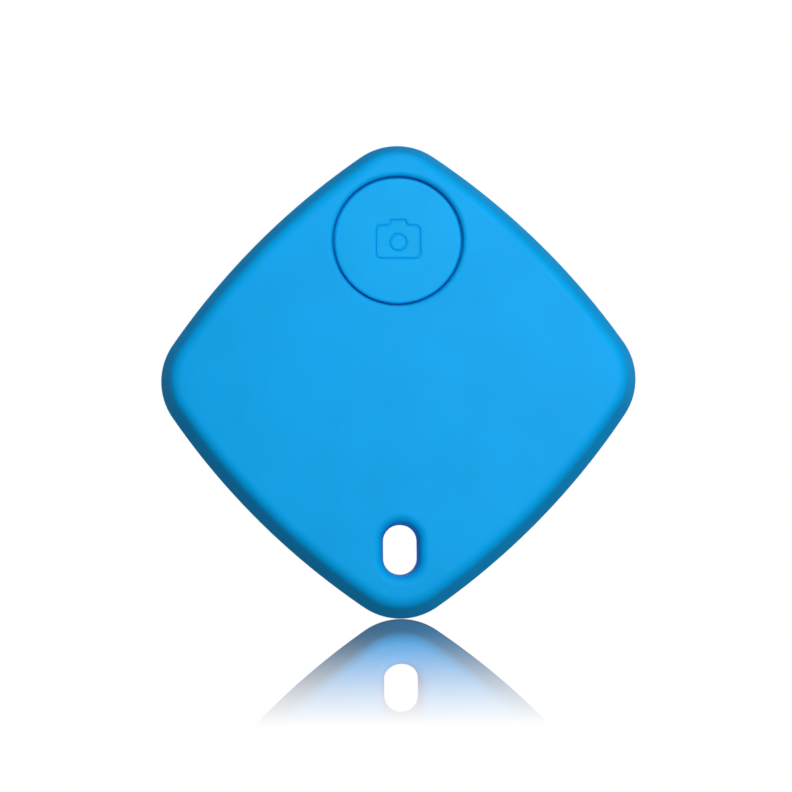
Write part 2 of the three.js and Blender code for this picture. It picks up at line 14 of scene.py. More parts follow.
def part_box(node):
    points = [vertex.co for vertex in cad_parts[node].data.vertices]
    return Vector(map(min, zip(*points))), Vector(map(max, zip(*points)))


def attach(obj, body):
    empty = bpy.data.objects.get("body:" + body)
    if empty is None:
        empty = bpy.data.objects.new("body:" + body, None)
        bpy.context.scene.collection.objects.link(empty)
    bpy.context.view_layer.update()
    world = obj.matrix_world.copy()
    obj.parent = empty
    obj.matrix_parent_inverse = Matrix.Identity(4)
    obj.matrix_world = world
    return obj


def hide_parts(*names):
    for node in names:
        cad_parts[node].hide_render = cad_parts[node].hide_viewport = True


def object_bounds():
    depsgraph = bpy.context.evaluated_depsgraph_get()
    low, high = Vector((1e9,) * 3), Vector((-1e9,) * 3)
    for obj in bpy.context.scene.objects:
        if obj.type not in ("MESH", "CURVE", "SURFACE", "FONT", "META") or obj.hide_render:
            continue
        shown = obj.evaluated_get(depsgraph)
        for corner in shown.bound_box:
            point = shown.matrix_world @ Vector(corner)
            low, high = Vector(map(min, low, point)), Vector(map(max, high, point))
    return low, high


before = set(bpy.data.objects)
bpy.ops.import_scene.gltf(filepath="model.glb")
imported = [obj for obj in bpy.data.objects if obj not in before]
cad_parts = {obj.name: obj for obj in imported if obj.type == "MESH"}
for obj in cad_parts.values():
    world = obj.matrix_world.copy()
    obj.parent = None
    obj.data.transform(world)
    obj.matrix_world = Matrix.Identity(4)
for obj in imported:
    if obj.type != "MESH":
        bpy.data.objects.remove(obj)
CAD_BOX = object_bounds()

MM = 0.001
QUARTER = math.pi / 2


# ---- Places, taken from the frame ----

SHELL_LOW, SHELL_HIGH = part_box("front_shell")
CASE = Vector(((SHELL_LOW.x + SHELL_HIGH.x) / 2, SHELL_LOW.y, (SHELL_LOW.z + SHELL_HIGH.z) / 2))


def at(x, depth, z):
    return CASE + Vector((x, depth, z)) * MM


def extent(node):
    """A CAD node's lowest and highest (x, depth, z), in millimetres about the case."""
    low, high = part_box(node)
    return (low - CASE) / MM, (high - CASE) / MM


def middle(node):
    low, high = extent(node)
    return (low.x + high.x) / 2, (low.z + high.z) / 2


# ---- Driving dimensions, in millimetres ----

HALF_ACROSS = 21.0  # middle of the case to the middle of a side
SIDE_RADIUS = 78.1
CORNER_RADIUS = 6.8
THICKNESS = extent("rear_cover")[1].y
SLOPE_INSET = 1.45  # where the sloping side would meet the face
SLOPE_END = 3.11  # how deep the slope is where it reaches the outline
FACE_ROUNDING = 1.5
FACE_INSET = SLOPE_INSET + FACE_ROUNDING * math.tan(math.atan2(SLOPE_END, SLOPE_INSET) / 2)
REAR_FILLET = 1.5
REVEAL = 0.1  # the gap between shell and cover
RIM = (SHELL_HIGH.y - SHELL_LOW.y) / MM  # where the shell ends
PARTING = RIM + REVEAL / 2
EDGE = RIM + REVEAL  # where the cover begins
BREAK = 0.12  # rounding of moulded edges that look sharp
LIP = 0.22  # rounding of the two edges along the parting line

FRONT_WALL = 1.2
REAR_WALL = 1.0
SIDE_WALL = 1.3
INNER_FILLET = 1.0
FOOT = 0.3  # rounding where a post or tube meets a wall

SLOT_Z = -CASE.z / MM  # the part's origin is the middle of the slot
SLOT_HALF_WIDTH = 1.8  # at its narrowest, where shell and cover meet
SLOT_HALF_HEIGHT = 2.65
SLOT_CORNER = 1.75
SLOT_DRAFT = 0.12  # how much wider each side is where the front flare ends
SLOT_TUBE_WALL = 1.0
SLOT_FRONT_FLARE = 1.2
SLOT_REAR_FLARE = 0.7

BUTTON_Z = middle("button_cap")[1]
HOLE_RADIUS = 6.9
HOLE_ROUND = 0.48
BUTTON_RADIUS = 6.7
BUTTON_FACE = extent("button_cap")[0].y  # the button's face sits this far behind the case's
BUTTON_CROWN = 0.12

SKIRT_INSET = 1.5
SKIRT_WALL = 0.6
SKIRT_START = 3.8

BOARD = extent("circuit_board")[1].y  # the board's rear face, which its parts stand on
SCREWS = ["board_screw_left", "board_screw_right"]
CELL_X, CELL_Z = middle("cell_can")

HOLD = 0.04  # straight stretches are held flat up to this far from a rounded corner
SAME_PLACE = 1e-4  # points closer than this are one point
SHARP = math.radians(32)  # edges that turn more than this aren't shaded smooth


# ---- Outlines ----

def outline(*arcs):
    """Points round a closed run of arcs, as (point, direction out of the outline).

    An arc is (x, z, radius, first angle, last angle, steps). One that turns clockwise is a
    hollow corner. Arcs that don't meet are joined by a straight edge.
    """
    points = []
    for x, z, radius, first, last, steps in arcs:
        side = 1 if last > first else -1
        for i in range(steps + 1):
            angle = first + (last - first) * i / steps
            spoke = Vector((math.cos(angle), math.sin(angle)))
            point = Vector((x, z)) + spoke * radius
            if not points or (point - points[-1][0]).length > 1e-3:
                points.append((point, spoke * side))
    if (points[0][0] - points[-1][0]).length < 1e-3:
        points.pop()
    return points


def spokes(x, z, steps):
    """A circle of no radius: how far a ring reaches from it is the ring's radius."""
    angles = [2 * math.pi * i / steps for i in range(steps)]
    return [(Vector((x, z)), Vector((math.cos(a), math.sin(a)))) for a in angles]


def rectangle(x, z, half_width, half_height, corner, steps=4):
    across, up = half_width - corner, half_height - corner
    corners = [(across, up), (-across, up), (-across, -up), (across, -up)]
    return outline(*[
        (x + dx, z + dz, corner, i * QUARTER, (i + 1) * QUARTER, steps)
        for i, (dx, dz) in enumerate(corners)
    ])


def case_outline():
    """Four long shallow side arcs and four tangent corner arcs, standing on a corner."""
    bulge = SIDE_RADIUS - HALF_ACROSS
    span = 2 * (SIDE_RADIUS - CORNER_RADIUS) ** 2 - bulge ** 2
    reach = (math.sqrt(span) - bulge) / 2
    sweep = math.atan2(reach, reach + bulge)
    arcs = []
    for side in range(4):
        facing = math.pi / 4 + side * QUARTER
        corner = facing + math.pi / 4
        arcs.append((-bulge * math.cos(facing), -bulge * math.sin(facing), SIDE_RADIUS,
                     facing - sweep, facing + sweep, 32))
        arcs.append((reach * math.sqrt(2) * math.cos(corner), reach * math.sqrt(2) * math.sin(corner),
                     CORNER_RADIUS, facing + sweep, facing + QUARTER - sweep, 24))
    return outline(*arcs)


def camera_outline():
    """A camera pictogram: a rounded body with a viewfinder hump."""
    half_width, bottom, shoulder, top = 2.5, -2.1, 1.75, 2.32
    corner, hump_half_width, hump_corner, flare = 0.7, 1.0, 0.35, 0.2
    x, hump_x, flare_x = half_width - corner, hump_half_width - hump_corner, hump_half_width + flare
    low, high, hump_z, flare_z = bottom + corner, shoulder - corner, top - hump_corner, shoulder + flare
    right = [(x, low, corner, -QUARTER, 0), (x, high, corner, 0, QUARTER),
             (flare_x, flare_z, flare, -QUARTER, -2 * QUARTER),
             (hump_x, hump_z, hump_corner, 0, QUARTER)]
    left = [(-across, up, radius, math.pi - last, math.pi - first)
            for across, up, radius, first, last in reversed(right)]
    return outline(*[(across, up + BUTTON_Z, radius, first, last, 8)
                     for across, up, radius, first, last in right + left])


CASE_EDGE = case_outline()
SLOT_EDGE = rectangle(0, SLOT_Z, SLOT_HALF_WIDTH, SLOT_HALF_HEIGHT, SLOT_CORNER, 16)


# ---- Profiles ----

def rounded(corners, closed=False):
    """A path through corners (reach, depth) or (reach, depth, radius), turning those into arcs."""
    runs = []
    last = len(corners) - 1
    for i, (reach, depth, *radius) in enumerate(corners):
        here = Vector((reach, depth))
        if not radius or (i in (0, last) and not closed):
            runs.append([here])
            continue
        back = (Vector(corners[i - 1][:2]) - here).normalized()
        ahead = (Vector(corners[(i + 1) % len(corners)][:2]) - here).normalized()
        half = back.angle(ahead) / 2
        hub = here + (back + ahead).normalized() * radius[0] / math.sin(half)
        start = here + back * radius[0] / math.tan(half) - hub
        turn = math.pi - 2 * half
        side = 1 if back.cross(ahead) < 0 else -1
        steps = max(3, math.ceil(turn / math.radians(9)))
        runs.append([hub + turned_by(start, side * turn * k / steps) for k in range(steps + 1)])
    path = []
    for i, run in enumerate(runs):
        path += run
        if i < last or closed:
            path += held(run[-1], runs[(i + 1) % len(runs)][0])
    return path


def rolled(start, end, face, deep, steps=20):
    """A quarter of an ellipse: in from a face, from one reach to another, ending square to it."""
    path = []
    for i in range(steps + 1):
        angle = QUARTER * i / steps
        reach = end + (start - end) * (1 - math.sin(angle))
        path.append(Vector((reach, face + deep * (1 - math.cos(angle)))))
    return path


def turned_by(vector, angle):
    cos, sin = math.cos(angle), math.sin(angle)
    return Vector((vector.x * cos - vector.y * sin, vector.x * sin + vector.y * cos))


def held(start, end):
    """Two points just inside the ends of a straight stretch, which keep its shading flat."""
    along = end - start
    if along.length < 4 * HOLD:
        return []
    return [start + along.normalized() * HOLD, end - along.normalized() * HOLD]


# ---- Skins ----

def inside(point, loop):
    """Whether a flat point lies within a closed loop of flat points."""
    x, z = point
    odd = False
    for (x1, z1), (x2, z2) in zip(loop, loop[1:] + loop[:1]):
        if (z1 > z) != (z2 > z) and x < (x2 - x1) * (z - z1) / (z2 - z1) + x1:
            odd = not odd
    return odd


class Skin:
    """A mesh made of rings, the walls between them, and the sheets that close them."""

    def __init__(self):
        self.points = []
        self.faces = []
        self.paints = []
        self.paint = 0  # which of the piece's materials new faces get

    def face(self, *corners):
        self.faces.append(corners)
        self.paints.append(self.paint)

    def add(self, points):
        first = len(self.points)
        self.points += points
        return list(range(first, len(self.points)))

    def join(self, rings):
        for near, far in zip(rings, rings[1:]):
            for i in range(len(near)):
                j = (i + 1) % len(near)
                self.face(near[i], near[j], far[j], far[i])

    def wall(self, edge, path, after=None, shift=None):
        """Rings round an outline, one for each (reach, depth) of the path.

        `after` is a ring to carry on from. `shift` moves each point further out or in. It gives
        back the first ring and the last one.
        """
        rings = [after] if after else []
        for reach, depth in path:
            ring = []
            for point, out in edge:
                stand = reach + (shift(point, depth) if shift else 0)
                x, z = point + out * stand
                ring.append((x, depth, z))
            rings.append(self.add(ring))
        self.join(rings)
        return rings[0], rings[-1]

    def turned(self, x, z, steps, corners):
        """A wall turned about an axis along the depth, from corners (radius, depth, rounding)."""
        return self.wall(spokes(x, z, steps), rounded(corners))

    def hoop(self, x, z, steps, corners):
        """A ring turned about an axis, from a closed run of corners."""
        path = rounded(corners, closed=True)
        self.wall(spokes(x, z, steps), path + path[:1])

    def sheet(self, rim, *holes, spacing=None):
        """Closes a flat ring, leaving the rings in `holes` open.

        With a spacing, points are spread over the sheet, so that it can be bent afterwards.
        """
        rings = [rim, *holes]
        loops = [[(self.points[i][0], self.points[i][2]) for i in ring] for ring in rings]
        indices = [i for ring in rings for i in ring]
        edges = []
        for loop in loops:
            first = len(edges)
            edges += [(first + i, first + (i + 1) % len(loop)) for i in range(len(loop))]

        def within(point):
            return inside(point, loops[0]) and not any(inside(point, hole) for hole in loops[1:])

        if spacing:
            depth = self.points[rim[0]][1]
            spread = [point for point in grid_over(loops[0], spacing)
                      if within(point) and clear_of(point, loops, spacing / 2)]
            indices += self.add([(x, depth, z) for x, z in spread])
        flat = [Vector((self.points[i][0], self.points[i][2])) for i in indices]
        found, _, triangles, origins, _, _ = delaunay_2d_cdt(flat, edges, [], 1, 1e-6)
        for triangle in triangles:
            centre = sum((found[v] for v in triangle), Vector((0, 0))) / 3
            if within(centre):
                self.face(*[indices[origins[v][0]] for v in triangle])

    def capped(self, edge, path):
        """A wall with both its ends closed."""
        for ring in self.wall(edge, path):
            self.sheet(ring)

    def block(self, one, other, corner, edge):
        """A rounded block between two opposite (x, depth, z), with its rear edge rounded too."""
        (left, right), (front, rear), (low, high) = [sorted(pair) for pair in zip(one, other)]
        around = rectangle((left + right) / 2, (low + high) / 2,
                           (right - left) / 2, (high - low) / 2, corner)
        self.capped(around, rounded([(0, front), (0, rear, edge), (-corner * 0.98, rear)]))

    def loft(self, loops):
        """Joins loops of (x, depth, z) one after the other, and closes the two ends."""
        rings = [self.add(loop) for loop in loops]
        self.join(rings)
        self.face(*rings[0])
        self.face(*reversed(rings[-1]))

    def build(self, materials, node=None, name=None, body="case"):
        """Makes the piece, which rides on `body` and stands for a CAD node, if one is given."""
        name = name or node + "_fine"
        mesh = bpy.data.meshes.new(name)
        mesh.from_pydata([at(*point) for point in self.points], [], self.faces)
        for polygon, paint in zip(mesh.polygons, self.paints):
            polygon.material_index = paint
        for material in materials:
            mesh.materials.append(material)
        work = bmesh.new()
        work.from_mesh(mesh)
        bmesh.ops.remove_doubles(work, verts=work.verts, dist=SAME_PLACE * MM)
        bmesh.ops.recalc_face_normals(work, faces=work.faces)
        work.to_mesh(mesh)
        work.free()
        mesh.shade_smooth()
        mesh.set_sharp_from_angle(angle=SHARP)
        piece = bpy.data.objects.new(name, mesh)
        bpy.context.scene.collection.objects.link(piece)
        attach(piece, body)
        if node:
            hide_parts(node)


def grid_over(loop, spacing):
    """Points of a triangular grid that covers a loop's box."""
    left, low = min(p[0] for p in loop), min(p[1] for p in loop)
    rise = spacing * 0.866  # between rows of equal triangles
    rows = int((max(p[1] for p in loop) - low) / rise) + 1
    columns = int((max(p[0] for p in loop) - left) / spacing) + 1
    for row in range(rows):
        for column in range(columns):
            yield left + (column + row % 2 / 2) * spacing, low + row * rise


def clear_of(point, loops, gap):
    """Whether a flat point keeps a gap from every point of the loops."""
    return all(abs(point[0] - x) > gap or abs(point[1] - z) > gap for loop in loops for x, z in loop)


# ---- Materials ----

def colour(code):
    """A linear colour from an sRGB one written as RRGGBB."""
    levels = [int(code[i:i + 2], 16) / 255 for i in (0, 2, 4)]
    return [(v / 12.92 if v <= 0.04045 else ((v + 0.055) / 1.055) ** 2.4) for v in levels] + [1]


class Tree:
    """Short calls that add nodes to the tree of a material or of the world."""

    def __init__(self, owner):
        owner.use_nodes = True
        self.nodes = owner.node_tree.nodes
        self.links = owner.node_tree.links

    def give(self, socket, value):
        """Sets an input, to a value or to another node's output."""
        if isinstance(value, bpy.types.NodeSocket):
            self.links.new(value, socket)
        else:
            socket.default_value = value

    def new(self, kind, inputs, output=0, **settings):
        """One output of a new node. `inputs` says what its sockets get."""
        node = self.nodes.new("ShaderNode" + kind)
        for setting, value in settings.items():
            setattr(node, setting, value)
        for socket, value in inputs.items():
            self.give(node.inputs[socket], value)
        return node.outputs[output]

    def maths(self, operation, one, other=0.0):
        return self.new("Math", {0: one, 1: other}, operation=operation)

    def length(self, vector):
        return self.new("VectorMath", {0: vector}, "Value", operation="LENGTH")


class Finish(Tree):
    """A procedural material: one Principled shader, and short calls for what varies it."""

    def __init__(self, name, shade, roughness, metallic=0.0, specular=0.5):
        self.material = bpy.data.materials.new(name)
        super().__init__(self.material)
        self.shade = colour(shade)
        self.material.diffuse_color = self.shade
        self.put("Base Color", self.shade)
        self.put("Roughness", roughness)
        self.put("Metallic", metallic)
        self.put("Specular IOR Level", specular)
        self.place = self.new("TexCoord", {}, "Object")

    def put(self, socket, value):
        """Sets one of the shader's inputs."""
        self.give(self.nodes["Principled BSDF"].inputs[socket], value)

    def stretched(self, x, y, z):
        """The place, scaled along each axis, for marks that run one way."""
        return self.new("Mapping", {"Vector": self.place, "Scale": (x, y, z)})

    def speckle(self, size, detail=3.0, place=None):
        """Noise, with features about `size` millimetres across."""
        place = place or self.place
        return self.new("TexNoise", {"Vector": place, "Scale": 1 / (size * MM), "Detail": detail})

    def between(self, value, low, high, start=0.35, end=0.65):
        """A value carried from the range start to end onto the range low to high."""
        return self.new("MapRange", {"Value": value, "From Min": start, "From Max": end,
                                     "To Min": low, "To Max": high})

    def mixed(self, amount, one, other):
        return self.new("Mix", {0: amount, 6: one, 7: other}, 2, data_type="RGBA")

    def uneven(self, value, spread):
        """Lets the base colour drift lighter and darker with a value."""
        dark = [c * (1 - spread) for c in self.shade[:3]] + [1]
        light = [min(1, c * (1 + spread)) for c in self.shade[:3]] + [1]
        drift = self.mixed(self.between(value, 0, 1), dark, light)
        self.put("Base Color", drift)
        return drift

    def relief(self, height, distance, over=None):
        """Bumps of a height given from 0 to 1, `distance` millimetres high."""
        inputs = {"Height": height, "Distance": distance * MM, "Strength": 1.0}
        if over:
            inputs["Normal"] = over
        bumps = self.new("Bump", inputs)
        self.put("Normal", bumps)
        return bumps


def moulded_blue(name, shade):
    """Matte soft-touch plastic: a fine even grain, and slight scuffing along the parting line."""
    finish = Finish(name, shade, 0.5, specular=0.12)
    cloud = finish.speckle(6, 2)
    grain = finish.speckle(0.16, 2)
    coarse = finish.speckle(0.7, 3)
    drift = finish.uneven(cloud, 0.025)
    depth = finish.new("SeparateXYZ", {"Vector": finish.place}, "Y")
    near = finish.maths("ABSOLUTE", finish.maths("SUBTRACT", depth, CASE.y + PARTING * MM))
    band = finish.between(near, 1, 0, 0.08 * MM, 0.3 * MM)
    scuff = finish.maths("MULTIPLY", band, finish.between(coarse, 0, 0.35, 0.5, 0.7))
    finish.put("Base Color", finish.mixed(scuff, drift, colour("7cc4ea")))
    finish.put("Roughness", finish.between(coarse, 0.4, 0.5))
    finish.relief(grain, 0.006, over=finish.relief(coarse, 0.008))
    return finish.material


def moulded_black():
    finish = Finish("black_moulding", "1a1b1d", 0.5)
    grain = finish.speckle(0.09, 2)
    finish.uneven(finish.speckle(1.2), 0.25)
    finish.put("Roughness", finish.between(grain, 0.42, 0.62))
    finish.relief(grain, 0.004)
    return finish.material


def sheet_metal(name, shade, roughness, brush=(1, 1, 14)):
    """Rolled or stamped metal, with faint marks along the way that it was rolled."""
    finish = Finish(name, shade, roughness, metallic=1.0)
    marks = finish.speckle(0.5, 4, finish.stretched(*brush))
    stains = finish.speckle(1.6, 3)
    finish.uneven(stains, 0.08)
    finish.put("Roughness", finish.between(marks, roughness * 0.75, roughness * 1.3))
    finish.relief(marks, 0.003)
    return finish.material


def turned_metal(name, shade, roughness, node):
    """Metal with rings about a node's middle, as a stamped or turned disc has."""
    finish = Finish(name, shade, roughness, metallic=1.0)
    x, z = middle(node)
    hub = at(x, 0, z)
    offset = finish.new("Mapping", {
        "Vector": finish.place, "Location": (-hub.x, 0, -hub.z), "Scale": (1, 0, 1)})
    radius = finish.new("CombineXYZ", {"X": finish.length(offset)})
    rings = finish.speckle(0.12, 3, radius)
    stains = finish.speckle(2.2, 4)
    finish.uneven(stains, 0.1)
    finish.put("Roughness", finish.between(finish.speckle(0.8), roughness * 0.8, roughness * 1.35))
    finish.relief(rings, 0.002, over=finish.relief(stains, 0.004))
    return finish.material


def mottled(name, shade, roughness, size=0.12, detail=4, spread=0.07):
    """A dense body with a faint fine mottling, such as fired ceramic, pressed powder or paper."""
    finish = Finish(name, shade, roughness)
    grain = finish.speckle(size, detail)
    finish.uneven(grain, spread)
    finish.put("Roughness", finish.between(grain, roughness * 0.85, roughness * 1.15))
    finish.relief(grain, 0.004)
    return finish.material


def board_green():
    """Solder mask over a faint glass weave, a little glossier where it ran thick."""
    finish = Finish("board_green", "0f4a2c", 0.3)
    warp = finish.speckle(0.5, 1, finish.stretched(1, 1, 9))
    weft = finish.speckle(0.5, 1, finish.stretched(9, 1, 1))
    weave = finish.maths("MULTIPLY", warp, weft)
    finish.uneven(weave, 0.14)
    finish.put("Roughness", finish.between(finish.speckle(2.0), 0.24, 0.38))
    finish.relief(weave, 0.01)
    return finish.material


def moulding_compound():
    finish = Finish("moulding_compound", "191a1c", 0.55)
    grain = finish.speckle(0.05, 2)
    finish.uneven(grain, 0.3)
    finish.put("Roughness", finish.between(grain, 0.45, 0.7))
    finish.relief(grain, 0.003)
    return finish.material


def soft_wrap(name, shade, roughness, size):
    """Wire insulation, nylon, tape and other smooth soft plastics."""
    return mottled(name, shade, roughness, size, 3, 0.08)


SHELL_BLUE = moulded_blue("shell_soft_touch", "06a3eb")
BUTTON_BLUE = moulded_blue("button_soft_touch", "0aa5ea")
BLACK = moulded_black()
GREEN = board_green()
EPOXY = moulding_compound()
TIN = sheet_metal("solder_tin", "c9cbce", 0.34, (1, 1, 1))
CONTACT = sheet_metal("contact_spring", "c3b994", 0.28)
SCREW = sheet_metal("screw_zinc", "b9bcc0", 0.32, (1, 9, 1))
CELL = turned_metal("cell_steel_turned", "c7c9cb", 0.24, "cell_can")
CRYSTAL = sheet_metal("crystal_lid", "c2c4c6", 0.3)
BRASS = turned_metal("piezo_brass_turned", "c9a24a", 0.3, "piezo_plate")
SILVERED = mottled("piezo_silvered", "d9d6cc", 0.5)
WHITE = mottled("white_alumina", "e4e2dc", 0.45)
TAN = mottled("capacitor_body", "8f6f45", 0.42, 0.08)
DARK = mottled("resistor_body", "1d1d20", 0.35, 0.08)
FERRITE = mottled("ferrite_body", "4b4d52", 0.6, 0.1)
TANTALUM = mottled("tantalum_body", "b8862f", 0.4, 0.1)
LAMINATE = mottled("board_laminate", "a89a5c", 0.6, 0.15)
TRACK = soft_wrap("masked_copper", "2f8a52", 0.3, 1.5)
TAPE = soft_wrap("white_tape", "e9e9e4", 0.6, 0.4)
WIRE_RED = soft_wrap("wire_red", "b3201d", 0.35, 0.5)
WIRE_BLACK = soft_wrap("wire_black", "19191a", 0.35, 0.5)
NYLON = soft_wrap("gasket_nylon", "c9c4b4", 0.4, 0.5)
LITHIUM = mottled("lithium", "b4b8bd", 0.5)
PAPER = mottled("separator_paper", "eeece4", 0.8, 0.08)
CATHODE = mottled("cathode_mix", "1f1f21", 0.85, 0.06)


# ---- The case and the button ----

def ramp(value, start, end):
    return min(1, max(0, (value - start) / (end - start)))


def near_side_middle(point, half_length):
    """1 along the middle of each side, out to half_length, and 0 towards the corners."""
    run_out = 0.6
    along = abs(abs(point.x) - abs(point.y)) / math.sqrt(2)
    return 1 - ramp(along, half_length, half_length + run_out)


def front_shell():
    skin = Skin()
    groove_start, groove_end, bite, lead = 4.0, 4.7, 0.25, 0.1

    def groove(point, depth):
        start = ramp(depth, groove_start, groove_start + lead)
        end = 1 - ramp(depth, groove_end - lead, groove_end)
        return bite * min(start, end) * near_side_middle(point, 6)

    mid_wall = -SIDE_WALL / 2
    face, rim = skin.wall(CASE_EDGE, rounded([
        (-FACE_INSET - HOLD, 0), (-SLOPE_INSET, 0, FACE_ROUNDING), (0, SLOPE_END, 0.5),
        (0, RIM, LIP), (mid_wall, RIM)]))
    _, floor = skin.wall(CASE_EDGE, rounded([
        (mid_wall - HOLD, RIM), (-SIDE_WALL, RIM, BREAK), (-SIDE_WALL, groove_end),
        (-SIDE_WALL, groove_end - lead), (-SIDE_WALL, groove_start + lead),
        (-SIDE_WALL, groove_start), (-SIDE_WALL, FRONT_WALL, INNER_FILLET),
        (-SIDE_WALL - INNER_FILLET - HOLD, FRONT_WALL)]), after=rim, shift=groove)

    slot_face, slot_floor = skin.wall(SLOT_EDGE, [
        (SLOT_FRONT_FLARE + HOLD, 0), *rolled(SLOT_FRONT_FLARE, SLOT_DRAFT, 0, SLOT_FRONT_FLARE),
        *rounded([
            (SLOT_DRAFT, SLOT_FRONT_FLARE + HOLD), (0, RIM, BREAK), (SLOT_TUBE_WALL, RIM, BREAK),
            (SLOT_TUBE_WALL, FRONT_WALL, FOOT), (SLOT_TUBE_WALL + FOOT + HOLD, FRONT_WALL)])])
    hole_face, hole_floor = skin.turned(0, BUTTON_Z, 160, [
        (HOLE_RADIUS + HOLE_ROUND + HOLD, 0), (HOLE_RADIUS, 0, HOLE_ROUND),
        (HOLE_RADIUS, FRONT_WALL, HOLD), (HOLE_RADIUS + 2 * HOLD, FRONT_WALL)])

    rests = [(-9.8, 12), (9.8, 12), (-9, -10.5), (9, -10.5)]
    rest_radius, boss_radius, pilot_radius, pilot_end = 1.2, 1.6, 0.75, 0.9
    post_end = extent("circuit_board")[0].y

    def post(x, z, radius, *top):
        start, end = skin.turned(x, z, 32, [
            (radius + FOOT + HOLD, FRONT_WALL), (radius, FRONT_WALL, FOOT),
            (radius, post_end, BREAK), *top])
        skin.sheet(end)
        return start

    pilot = [(pilot_radius, post_end, BREAK), (pilot_radius, pilot_end, BREAK),
             (pilot_radius / 2, pilot_end)]
    posts = [post(x, z, rest_radius, (rest_radius / 2, post_end)) for x, z in rests]
    posts += [post(*middle(screw), boss_radius, *pilot) for screw in SCREWS]
    skin.sheet(face, slot_face, hole_face)
    skin.sheet(floor, slot_floor, hole_floor, *posts)
    skin.build([SHELL_BLUE], "front_shell")


def rear_cover():
    skin = Skin()
    inside_face = THICKNESS - REAR_WALL
    top = max(point.y for point, _ in CASE_EDGE)
    notch_reach, notch_end, lead = 1.1, EDGE + 0.8, 0.06
    bead_start, bead_end, bead_height = 4.15, 4.55, 0.16

    def pry_notch(point, depth):
        if depth > notch_end or point.y < top - 2 * notch_reach:
            return 0
        deep = max(0, point.y - (top - notch_reach))
        return -deep * (1 - ramp(depth, notch_end - lead, notch_end))

    def bead(point, depth):
        swell = math.sin(math.pi * ramp(depth, bead_start, bead_end))
        return bead_height * math.sqrt(swell) * near_side_middle(point, 5)

    face, edge = skin.wall(CASE_EDGE, rounded([
        (-REAR_FILLET - HOLD, THICKNESS), (0, THICKNESS, REAR_FILLET),
        (0, notch_end), (0, notch_end - lead),
        (0, EDGE, LIP), (-SKIRT_INSET + 0.2, EDGE)]), shift=pry_notch)
    beads = [(-SKIRT_INSET, bead_end + (bead_start - bead_end) * i / 8) for i in range(9)]
    cavity = SKIRT_INSET + SKIRT_WALL
    cavity_fillet = 0.8
    _, floor = skin.wall(CASE_EDGE, rounded([
        (-SKIRT_INSET + 0.1, EDGE), (-SKIRT_INSET, EDGE, 0.08), *beads,
        (-SKIRT_INSET, SKIRT_START, BREAK), (-cavity, SKIRT_START, BREAK),
        (-cavity, inside_face, cavity_fillet), (-cavity - cavity_fillet - HOLD, inside_face)]),
        after=edge, shift=bead)

    slot_face, slot_floor = skin.wall(SLOT_EDGE, rounded([
        (SLOT_REAR_FLARE + HOLD, THICKNESS), (0, THICKNESS, SLOT_REAR_FLARE), (0, EDGE, BREAK),
        (SLOT_TUBE_WALL, EDGE, BREAK), (SLOT_TUBE_WALL, inside_face, FOOT),
        (SLOT_TUBE_WALL + FOOT + HOLD, inside_face)]))
    rib_inner, rib_outer, rib_foot = 6.0, 6.8, 0.15
    rib_end = extent("cell_can")[1].y + 0.1
    rib_start, rib_middle = skin.turned(CELL_X, CELL_Z, 96, [
        (rib_outer + rib_foot + HOLD, inside_face), (rib_outer, inside_face, rib_foot),
        (rib_outer, rib_end, BREAK), (rib_inner, rib_end, BREAK), (rib_inner, inside_face, rib_foot),
        (rib_inner - rib_foot - HOLD, inside_face)])
    skin.sheet(face, slot_face)
    skin.sheet(floor, slot_floor, rib_start)
    skin.sheet(rib_middle)
    skin.build([SHELL_BLUE], "rear_cover", body="cover")


def engraved(skin, edge, line, deep):
    """A softly rounded groove that runs inside an outline. Gives its outer and inner rings."""
    steps = 10
    path = []
    for i in range(steps + 1):
        sunk = deep * (1 - math.cos(2 * math.pi * i / steps)) / 2
        path.append((-line * i / steps, BUTTON_FACE + sunk))
    return skin.wall(edge, path)


def button_cap():
    skin = Skin()
    rounding, flange, flange_start = 0.3, 7.6, 1.3
    flange_end = extent("button_cap")[1].y
    skirt_inner, underside = 6.2, 1.15
    nub_radius, nub_end = 0.9, 1.3
    line, deep, lens_radius, lens_drop = 0.34, 0.15, 1.05, 0.24
    face, under = skin.turned(0, BUTTON_Z, 160, [
        (BUTTON_RADIUS - rounding - HOLD, BUTTON_FACE), (BUTTON_RADIUS, BUTTON_FACE, rounding),
        (BUTTON_RADIUS, flange_start, 0.1), (flange, flange_start, 0.1), (flange, flange_end, 0.1),
        (skirt_inner, flange_end, 0.1), (skirt_inner, underside, 0.2),
        (nub_radius + 0.3, underside), (nub_radius, underside, 0.1), (nub_radius, nub_end, 0.08),
        (nub_radius / 2, nub_end)])
    skin.sheet(under)
    body_outer, body_inner = engraved(skin, camera_outline(), line, deep)
    lens_edge = outline((0, BUTTON_Z - lens_drop, lens_radius, 0, 2 * math.pi, 64))
    lens_outer, lens_inner = engraved(skin, lens_edge, line, deep)
    skin.sheet(face, body_outer, spacing=0.3)
    skin.sheet(body_inner, lens_outer, spacing=0.2)
    skin.sheet(lens_inner, spacing=0.2)
    for i, (x, depth, z) in enumerate(skin.points):
        away = math.hypot(x, z - BUTTON_Z) / BUTTON_RADIUS
        if depth < BUTTON_FACE + deep + 0.01 and away < 1:
            skin.points[i] = (x, depth + BUTTON_CROWN * away ** 2, z)
    skin.build([BUTTON_BLUE], "button_cap", body="button")


front_shell()
rear_cover()
button_cap()


# ---- The board and what stands on it ----

